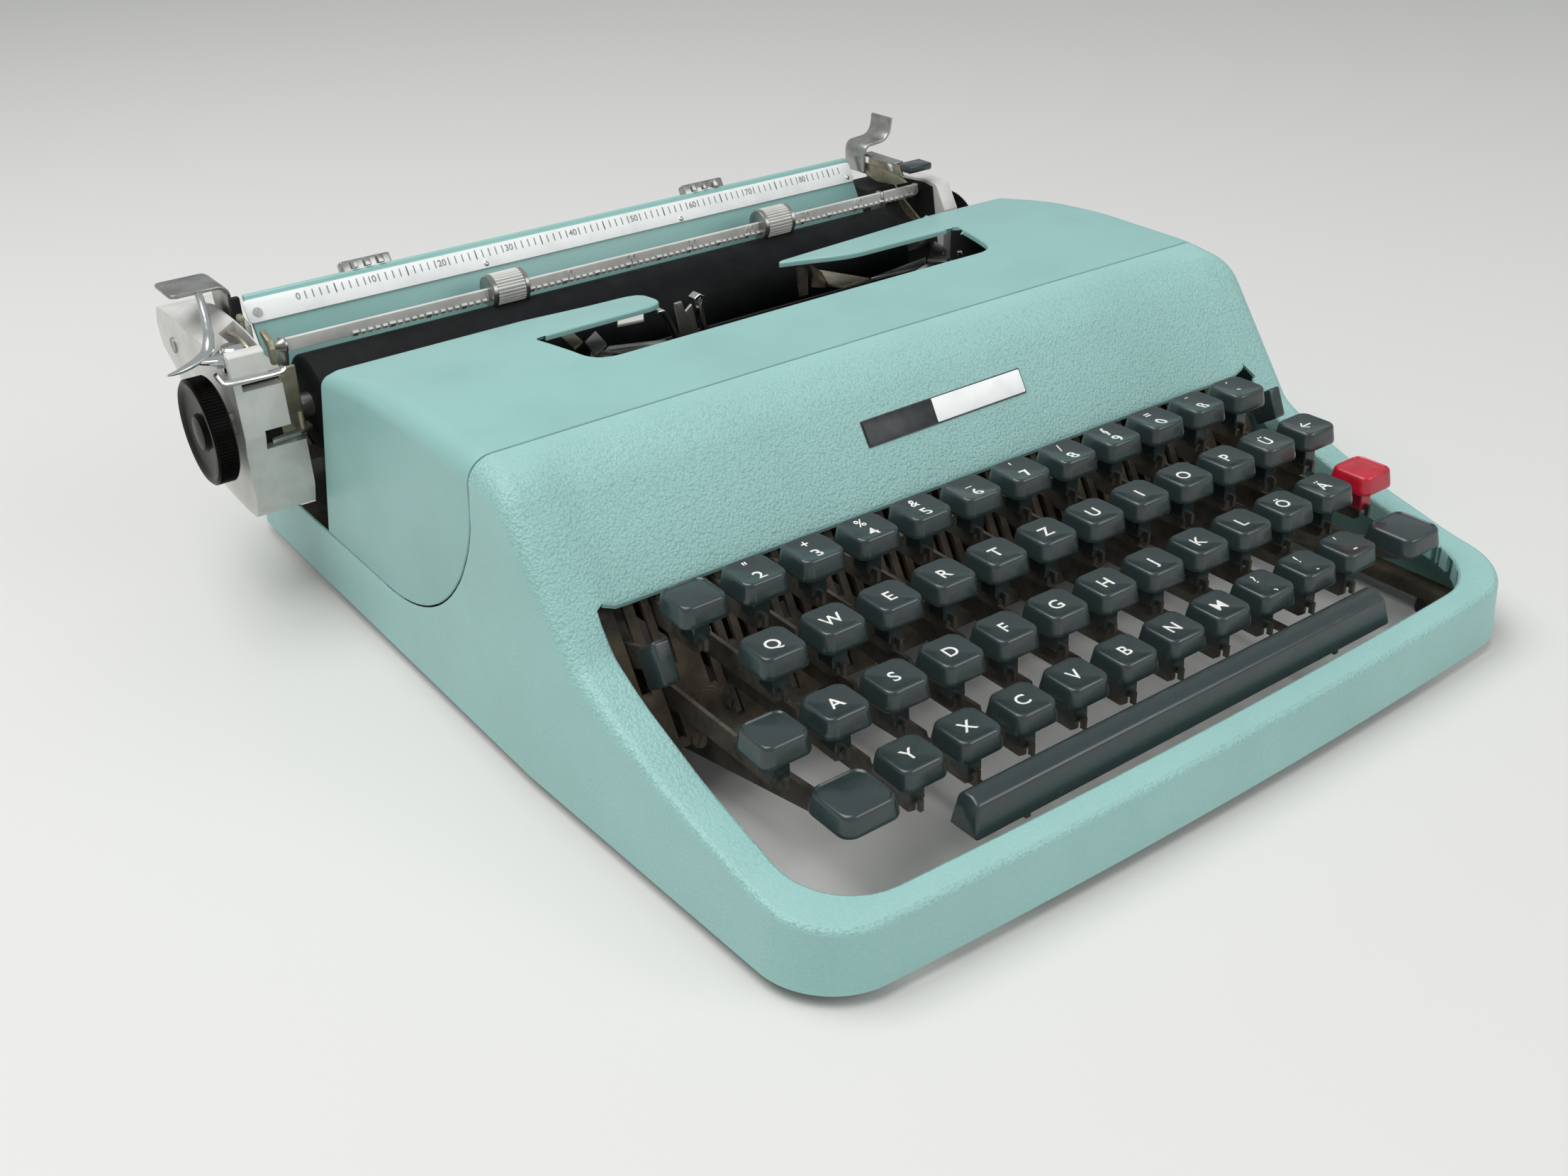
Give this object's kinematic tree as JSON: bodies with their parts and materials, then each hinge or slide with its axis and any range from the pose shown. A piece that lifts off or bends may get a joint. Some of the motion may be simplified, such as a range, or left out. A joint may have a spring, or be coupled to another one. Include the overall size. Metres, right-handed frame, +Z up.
{
  "type": "portable typewriter",
  "caption": "Flat portable typewriter with a wedge-shaped painted case, lift-off cover, sprung keys on flat levers, space bar and a sliding carriage with platen.",
  "frame": {"origin": "middle of the bounding box, on the surface that the machine stands on", "axes": "+X to the typist's right along the carriage, +Y from the front edge to the back, +Z up"},
  "size_m": [0.3284, 0.3372, 0.1128],
  "materials": {
    "case_paint": "satin blue-green enamel with a fine leather grain",
    "dark_key": "semi-gloss dark grey-green plastic",
    "red_key": "semi-gloss red plastic",
    "dark_steel": "blackened steel with dust",
    "silver_casting": "silver painted casting",
    "bright_chrome": "polished plating",
    "plain_steel": "zinc-plated sheet",
    "black_rubber": "matt black rubber"
  },
  "bodies": {
    "case": {"body_shell": "case_paint", "chassis": "dark_steel"},
    "top_cover": {"top_cover": "case_paint"},
    "carriage": {"carriage_frame": "silver_casting", "paper_table": "case_paint"},
    "platen": {"platen": "black_rubber"},
    "paper_bail": {"paper_bail": "bright_chrome"},
    "return_lever": {"return_lever": "bright_chrome"},
    "paper_release_lever": {"paper_release_lever": "plain_steel"},
    "space_bar": {"space_bar": "dark_key"},
    "shift_keys": {"shift_keys": "dark_key"},
    "shift_lock_key": {"shift_lock_key": "dark_key"},
    "margin_release_key": {"margin_release_key": "dark_key"},
    "backspace_key": {"backspace_key": "dark_key"},
    "tabulator_key": {"tabulator_key": "red_key"},
    "ribbon_selector": {"ribbon_selector": "dark_key"},
    "tab_set_lever": {"tab_set_lever": "dark_key"},
    "key_2": {"key_2": "dark_key"},
    "key_3": {"key_3": "dark_key"},
    "key_4": {"key_4": "dark_key"},
    "key_5": {"key_5": "dark_key"},
    "key_6": {"key_6": "dark_key"},
    "key_7": {"key_7": "dark_key"},
    "key_8": {"key_8": "dark_key"},
    "key_9": {"key_9": "dark_key"},
    "key_0": {"key_0": "dark_key"},
    "key_sharp_s": {"key_sharp_s": "dark_key"},
    "key_accent": {"key_accent": "dark_key"},
    "key_Q": {"key_Q": "dark_key"},
    "key_W": {"key_W": "dark_key"},
    "key_E": {"key_E": "dark_key"},
    "key_R": {"key_R": "dark_key"},
    "key_T": {"key_T": "dark_key"},
    "key_Z": {"key_Z": "dark_key"},
    "key_U": {"key_U": "dark_key"},
    "key_I": {"key_I": "dark_key"},
    "key_O": {"key_O": "dark_key"},
    "key_P": {"key_P": "dark_key"},
    "key_U_umlaut": {"key_U_umlaut": "dark_key"},
    "key_A": {"key_A": "dark_key"},
    "key_S": {"key_S": "dark_key"},
    "key_D": {"key_D": "dark_key"},
    "key_F": {"key_F": "dark_key"},
    "key_G": {"key_G": "dark_key"},
    "key_H": {"key_H": "dark_key"},
    "key_J": {"key_J": "dark_key"},
    "key_K": {"key_K": "dark_key"},
    "key_L": {"key_L": "dark_key"},
    "key_O_umlaut": {"key_O_umlaut": "dark_key"},
    "key_A_umlaut": {"key_A_umlaut": "dark_key"},
    "key_Y": {"key_Y": "dark_key"},
    "key_X": {"key_X": "dark_key"},
    "key_C": {"key_C": "dark_key"},
    "key_V": {"key_V": "dark_key"},
    "key_B": {"key_B": "dark_key"},
    "key_N": {"key_N": "dark_key"},
    "key_M": {"key_M": "dark_key"},
    "key_comma": {"key_comma": "dark_key"},
    "key_period": {"key_period": "dark_key"},
    "key_hyphen": {"key_hyphen": "dark_key"}
  },
  "joints": [
    {"name": "carriage_slide", "type": "slide", "parent": "case", "child": "carriage", "axis": [1, 0, 0], "range_m": [-0.093, 0.13]},
    {"name": "platen_turn", "type": "hinge", "parent": "carriage", "child": "platen", "pos_m": [-0.00029, 0.1006, 0.0679], "axis": [1, 0, 0], "continuous": true},
    {"name": "bail_lift", "type": "hinge", "parent": "carriage", "child": "paper_bail", "pos_m": [-0.00029, 0.1111, 0.073], "axis": [1, 0, 0], "range_deg": [-36, 0]},
    {"name": "return_lever_swing", "type": "hinge", "parent": "carriage", "child": "return_lever", "pos_m": [-0.14079, 0.0996, 0.088], "axis": [0, 0, 1], "range_deg": [0, 30], "stiffness_Nm_per_rad": 0.05, "springref_deg": -11.46},
    {"name": "paper_release", "type": "hinge", "parent": "carriage", "child": "paper_release_lever", "pos_m": [0.12971, 0.1226, 0.0906], "axis": [1, 0, 0], "range_deg": [-18, 0]},
    {"name": "cover_lift_off", "type": "slide", "parent": "case", "child": "top_cover", "axis": [0, 0, 1], "range_m": [0, 0.078]},
    {"name": "space_bar_press", "type": "hinge", "parent": "case", "child": "space_bar", "pos_m": [0.01971, -0.0164, 0.013], "axis": [1, 0, 0], "range_deg": [0, 3.2], "stiffness_Nm_per_rad": 2, "springref_deg": -3.44},
    {"name": "shift_press", "type": "hinge", "parent": "case", "child": "shift_keys", "pos_m": [0.01971, 0.0236, 0.014], "axis": [1, 0, 0], "range_deg": [0, 3.6], "stiffness_Nm_per_rad": 2.5, "springref_deg": -3.44},
    {"name": "shift_lock_press", "type": "hinge", "parent": "case", "child": "shift_lock_key", "pos_m": [0.01971, 0.0386, 0.03], "axis": [1, 0, 0], "range_deg": [0, 4.05], "stiffness_Nm_per_rad": 0.8, "springref_deg": -2.29},
    {"name": "margin_release_press", "type": "hinge", "parent": "case", "child": "margin_release_key", "pos_m": [0.01971, 0.0386, 0.03], "axis": [1, 0, 0], "range_deg": [0, 5.45], "stiffness_Nm_per_rad": 0.8, "springref_deg": -2.29},
    {"name": "backspace_press", "type": "hinge", "parent": "case", "child": "backspace_key", "pos_m": [0.01971, 0.0386, 0.03], "axis": [1, 0, 0], "range_deg": [0, 4.6], "stiffness_Nm_per_rad": 0.8, "springref_deg": -2.29},
    {"name": "tabulator_press", "type": "hinge", "parent": "case", "child": "tabulator_key", "pos_m": [0.01971, 0.0386, 0.03], "axis": [1, 0, 0], "range_deg": [0, 4.05], "stiffness_Nm_per_rad": 0.8, "springref_deg": -2.29},
    {"name": "ribbon_selector_turn", "type": "hinge", "parent": "case", "child": "ribbon_selector", "pos_m": [0.13871, -0.0384, 0.036], "axis": [1, 0, 0], "range_deg": [-8, 8]},
    {"name": "tab_set_turn", "type": "hinge", "parent": "case", "child": "tab_set_lever", "pos_m": [-0.10029, -0.0384, 0.036], "axis": [1, 0, 0], "range_deg": [-8, 8], "stiffness_Nm_per_rad": 0.2},
    {"name": "key_2_press", "type": "hinge", "parent": "case", "child": "key_2", "pos_m": [0.01971, 0.0386, 0.03], "axis": [1, 0, 0], "range_deg": [0, 5.45], "stiffness_Nm_per_rad": 0.8, "springref_deg": -2.29},
    {"name": "key_3_press", "type": "hinge", "parent": "case", "child": "key_3", "pos_m": [0.01971, 0.0386, 0.03], "axis": [1, 0, 0], "range_deg": [0, 5.45], "stiffness_Nm_per_rad": 0.8, "springref_deg": -2.29},
    {"name": "key_4_press", "type": "hinge", "parent": "case", "child": "key_4", "pos_m": [0.01971, 0.0386, 0.03], "axis": [1, 0, 0], "range_deg": [0, 5.45], "stiffness_Nm_per_rad": 0.8, "springref_deg": -2.29},
    {"name": "key_5_press", "type": "hinge", "parent": "case", "child": "key_5", "pos_m": [0.01971, 0.0386, 0.03], "axis": [1, 0, 0], "range_deg": [0, 5.45], "stiffness_Nm_per_rad": 0.8, "springref_deg": -2.29},
    {"name": "key_6_press", "type": "hinge", "parent": "case", "child": "key_6", "pos_m": [0.01971, 0.0386, 0.03], "axis": [1, 0, 0], "range_deg": [0, 5.45], "stiffness_Nm_per_rad": 0.8, "springref_deg": -2.29},
    {"name": "key_7_press", "type": "hinge", "parent": "case", "child": "key_7", "pos_m": [0.01971, 0.0386, 0.03], "axis": [1, 0, 0], "range_deg": [0, 5.45], "stiffness_Nm_per_rad": 0.8, "springref_deg": -2.29},
    {"name": "key_8_press", "type": "hinge", "parent": "case", "child": "key_8", "pos_m": [0.01971, 0.0386, 0.03], "axis": [1, 0, 0], "range_deg": [0, 5.45], "stiffness_Nm_per_rad": 0.8, "springref_deg": -2.29},
    {"name": "key_9_press", "type": "hinge", "parent": "case", "child": "key_9", "pos_m": [0.01971, 0.0386, 0.03], "axis": [1, 0, 0], "range_deg": [0, 5.45], "stiffness_Nm_per_rad": 0.8, "springref_deg": -2.29},
    {"name": "key_0_press", "type": "hinge", "parent": "case", "child": "key_0", "pos_m": [0.01971, 0.0386, 0.03], "axis": [1, 0, 0], "range_deg": [0, 5.45], "stiffness_Nm_per_rad": 0.8, "springref_deg": -2.29},
    {"name": "key_sharp_s_press", "type": "hinge", "parent": "case", "child": "key_sharp_s", "pos_m": [0.01971, 0.0386, 0.03], "axis": [1, 0, 0], "range_deg": [0, 5.45], "stiffness_Nm_per_rad": 0.8, "springref_deg": -2.29},
    {"name": "key_accent_press", "type": "hinge", "parent": "case", "child": "key_accent", "pos_m": [0.01971, 0.0386, 0.03], "axis": [1, 0, 0], "range_deg": [0, 5.45], "stiffness_Nm_per_rad": 0.8, "springref_deg": -2.29},
    {"name": "key_Q_press", "type": "hinge", "parent": "case", "child": "key_Q", "pos_m": [0.01971, 0.0386, 0.03], "axis": [1, 0, 0], "range_deg": [0, 4.6], "stiffness_Nm_per_rad": 0.8, "springref_deg": -2.29},
    {"name": "key_W_press", "type": "hinge", "parent": "case", "child": "key_W", "pos_m": [0.01971, 0.0386, 0.03], "axis": [1, 0, 0], "range_deg": [0, 4.6], "stiffness_Nm_per_rad": 0.8, "springref_deg": -2.29},
    {"name": "key_E_press", "type": "hinge", "parent": "case", "child": "key_E", "pos_m": [0.01971, 0.0386, 0.03], "axis": [1, 0, 0], "range_deg": [0, 4.6], "stiffness_Nm_per_rad": 0.8, "springref_deg": -2.29},
    {"name": "key_R_press", "type": "hinge", "parent": "case", "child": "key_R", "pos_m": [0.01971, 0.0386, 0.03], "axis": [1, 0, 0], "range_deg": [0, 4.6], "stiffness_Nm_per_rad": 0.8, "springref_deg": -2.29},
    {"name": "key_T_press", "type": "hinge", "parent": "case", "child": "key_T", "pos_m": [0.01971, 0.0386, 0.03], "axis": [1, 0, 0], "range_deg": [0, 4.6], "stiffness_Nm_per_rad": 0.8, "springref_deg": -2.29},
    {"name": "key_Z_press", "type": "hinge", "parent": "case", "child": "key_Z", "pos_m": [0.01971, 0.0386, 0.03], "axis": [1, 0, 0], "range_deg": [0, 4.6], "stiffness_Nm_per_rad": 0.8, "springref_deg": -2.29},
    {"name": "key_U_press", "type": "hinge", "parent": "case", "child": "key_U", "pos_m": [0.01971, 0.0386, 0.03], "axis": [1, 0, 0], "range_deg": [0, 4.6], "stiffness_Nm_per_rad": 0.8, "springref_deg": -2.29},
    {"name": "key_I_press", "type": "hinge", "parent": "case", "child": "key_I", "pos_m": [0.01971, 0.0386, 0.03], "axis": [1, 0, 0], "range_deg": [0, 4.6], "stiffness_Nm_per_rad": 0.8, "springref_deg": -2.29},
    {"name": "key_O_press", "type": "hinge", "parent": "case", "child": "key_O", "pos_m": [0.01971, 0.0386, 0.03], "axis": [1, 0, 0], "range_deg": [0, 4.6], "stiffness_Nm_per_rad": 0.8, "springref_deg": -2.29},
    {"name": "key_P_press", "type": "hinge", "parent": "case", "child": "key_P", "pos_m": [0.01971, 0.0386, 0.03], "axis": [1, 0, 0], "range_deg": [0, 4.6], "stiffness_Nm_per_rad": 0.8, "springref_deg": -2.29},
    {"name": "key_U_umlaut_press", "type": "hinge", "parent": "case", "child": "key_U_umlaut", "pos_m": [0.01971, 0.0386, 0.03], "axis": [1, 0, 0], "range_deg": [0, 4.6], "stiffness_Nm_per_rad": 0.8, "springref_deg": -2.29},
    {"name": "key_A_press", "type": "hinge", "parent": "case", "child": "key_A", "pos_m": [0.01971, 0.0386, 0.03], "axis": [1, 0, 0], "range_deg": [0, 4.05], "stiffness_Nm_per_rad": 0.8, "springref_deg": -2.29},
    {"name": "key_S_press", "type": "hinge", "parent": "case", "child": "key_S", "pos_m": [0.01971, 0.0386, 0.03], "axis": [1, 0, 0], "range_deg": [0, 4.05], "stiffness_Nm_per_rad": 0.8, "springref_deg": -2.29},
    {"name": "key_D_press", "type": "hinge", "parent": "case", "child": "key_D", "pos_m": [0.01971, 0.0386, 0.03], "axis": [1, 0, 0], "range_deg": [0, 4.05], "stiffness_Nm_per_rad": 0.8, "springref_deg": -2.29},
    {"name": "key_F_press", "type": "hinge", "parent": "case", "child": "key_F", "pos_m": [0.01971, 0.0386, 0.03], "axis": [1, 0, 0], "range_deg": [0, 4.05], "stiffness_Nm_per_rad": 0.8, "springref_deg": -2.29},
    {"name": "key_G_press", "type": "hinge", "parent": "case", "child": "key_G", "pos_m": [0.01971, 0.0386, 0.03], "axis": [1, 0, 0], "range_deg": [0, 4.05], "stiffness_Nm_per_rad": 0.8, "springref_deg": -2.29},
    {"name": "key_H_press", "type": "hinge", "parent": "case", "child": "key_H", "pos_m": [0.01971, 0.0386, 0.03], "axis": [1, 0, 0], "range_deg": [0, 4.05], "stiffness_Nm_per_rad": 0.8, "springref_deg": -2.29},
    {"name": "key_J_press", "type": "hinge", "parent": "case", "child": "key_J", "pos_m": [0.01971, 0.0386, 0.03], "axis": [1, 0, 0], "range_deg": [0, 4.05], "stiffness_Nm_per_rad": 0.8, "springref_deg": -2.29},
    {"name": "key_K_press", "type": "hinge", "parent": "case", "child": "key_K", "pos_m": [0.01971, 0.0386, 0.03], "axis": [1, 0, 0], "range_deg": [0, 4.05], "stiffness_Nm_per_rad": 0.8, "springref_deg": -2.29},
    {"name": "key_L_press", "type": "hinge", "parent": "case", "child": "key_L", "pos_m": [0.01971, 0.0386, 0.03], "axis": [1, 0, 0], "range_deg": [0, 4.05], "stiffness_Nm_per_rad": 0.8, "springref_deg": -2.29},
    {"name": "key_O_umlaut_press", "type": "hinge", "parent": "case", "child": "key_O_umlaut", "pos_m": [0.01971, 0.0386, 0.03], "axis": [1, 0, 0], "range_deg": [0, 4.05], "stiffness_Nm_per_rad": 0.8, "springref_deg": -2.29},
    {"name": "key_A_umlaut_press", "type": "hinge", "parent": "case", "child": "key_A_umlaut", "pos_m": [0.01971, 0.0386, 0.03], "axis": [1, 0, 0], "range_deg": [0, 4.05], "stiffness_Nm_per_rad": 0.8, "springref_deg": -2.29},
    {"name": "key_Y_press", "type": "hinge", "parent": "case", "child": "key_Y", "pos_m": [0.01971, 0.0386, 0.03], "axis": [1, 0, 0], "range_deg": [0, 3.65], "stiffness_Nm_per_rad": 0.8, "springref_deg": -2.29},
    {"name": "key_X_press", "type": "hinge", "parent": "case", "child": "key_X", "pos_m": [0.01971, 0.0386, 0.03], "axis": [1, 0, 0], "range_deg": [0, 3.65], "stiffness_Nm_per_rad": 0.8, "springref_deg": -2.29},
    {"name": "key_C_press", "type": "hinge", "parent": "case", "child": "key_C", "pos_m": [0.01971, 0.0386, 0.03], "axis": [1, 0, 0], "range_deg": [0, 3.65], "stiffness_Nm_per_rad": 0.8, "springref_deg": -2.29},
    {"name": "key_V_press", "type": "hinge", "parent": "case", "child": "key_V", "pos_m": [0.01971, 0.0386, 0.03], "axis": [1, 0, 0], "range_deg": [0, 3.65], "stiffness_Nm_per_rad": 0.8, "springref_deg": -2.29},
    {"name": "key_B_press", "type": "hinge", "parent": "case", "child": "key_B", "pos_m": [0.01971, 0.0386, 0.03], "axis": [1, 0, 0], "range_deg": [0, 3.65], "stiffness_Nm_per_rad": 0.8, "springref_deg": -2.29},
    {"name": "key_N_press", "type": "hinge", "parent": "case", "child": "key_N", "pos_m": [0.01971, 0.0386, 0.03], "axis": [1, 0, 0], "range_deg": [0, 3.65], "stiffness_Nm_per_rad": 0.8, "springref_deg": -2.29},
    {"name": "key_M_press", "type": "hinge", "parent": "case", "child": "key_M", "pos_m": [0.01971, 0.0386, 0.03], "axis": [1, 0, 0], "range_deg": [0, 3.65], "stiffness_Nm_per_rad": 0.8, "springref_deg": -2.29},
    {"name": "key_comma_press", "type": "hinge", "parent": "case", "child": "key_comma", "pos_m": [0.01971, 0.0386, 0.03], "axis": [1, 0, 0], "range_deg": [0, 3.65], "stiffness_Nm_per_rad": 0.8, "springref_deg": -2.29},
    {"name": "key_period_press", "type": "hinge", "parent": "case", "child": "key_period", "pos_m": [0.01971, 0.0386, 0.03], "axis": [1, 0, 0], "range_deg": [0, 3.65], "stiffness_Nm_per_rad": 0.8, "springref_deg": -2.29},
    {"name": "key_hyphen_press", "type": "hinge", "parent": "case", "child": "key_hyphen", "pos_m": [0.01971, 0.0386, 0.03], "axis": [1, 0, 0], "range_deg": [0, 3.65], "stiffness_Nm_per_rad": 0.8, "springref_deg": -2.29}
  ]
}
